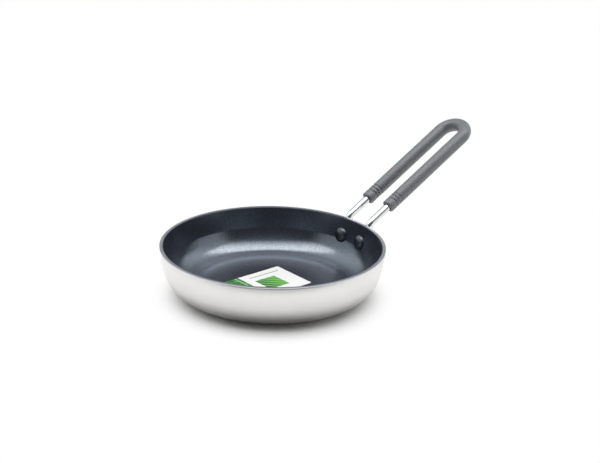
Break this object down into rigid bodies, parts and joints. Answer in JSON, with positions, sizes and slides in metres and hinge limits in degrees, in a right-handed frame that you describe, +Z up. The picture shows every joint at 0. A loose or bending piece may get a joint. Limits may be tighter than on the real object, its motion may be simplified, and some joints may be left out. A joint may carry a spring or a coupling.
{
  "type": "small frying pan",
  "caption": "Small round frying pan with a dark nonstick inside, a bare metal outside and a long riveted wire loop handle with a grey sleeve grip.",
  "frame": {"origin": "centre of the flat underside of the pan, on the surface that the pan stands on", "axes": "+Z up, +X from the pan's centre along the handle, +Y to the left of the handle seen from the pan's centre"},
  "size_m": [0.2137, 0.127, 0.0742],
  "materials": {
    "pan_metal": "satin",
    "nonstick_coating": "satin",
    "wire_steel": "polished",
    "sleeve_silicone": "matte",
    "rivet_metal": "satin",
    "label_paper": "satin"
  },
  "bodies": {
    "root": {"pan_body": "pan_metal", "nonstick_lining": "nonstick_coating", "handle_wire": "wire_steel", "grip_sleeve": "sleeve_silicone", "rivet_left": "rivet_metal", "rivet_right": "rivet_metal", "paper_label": "label_paper"}
  },
  "joints": []
}
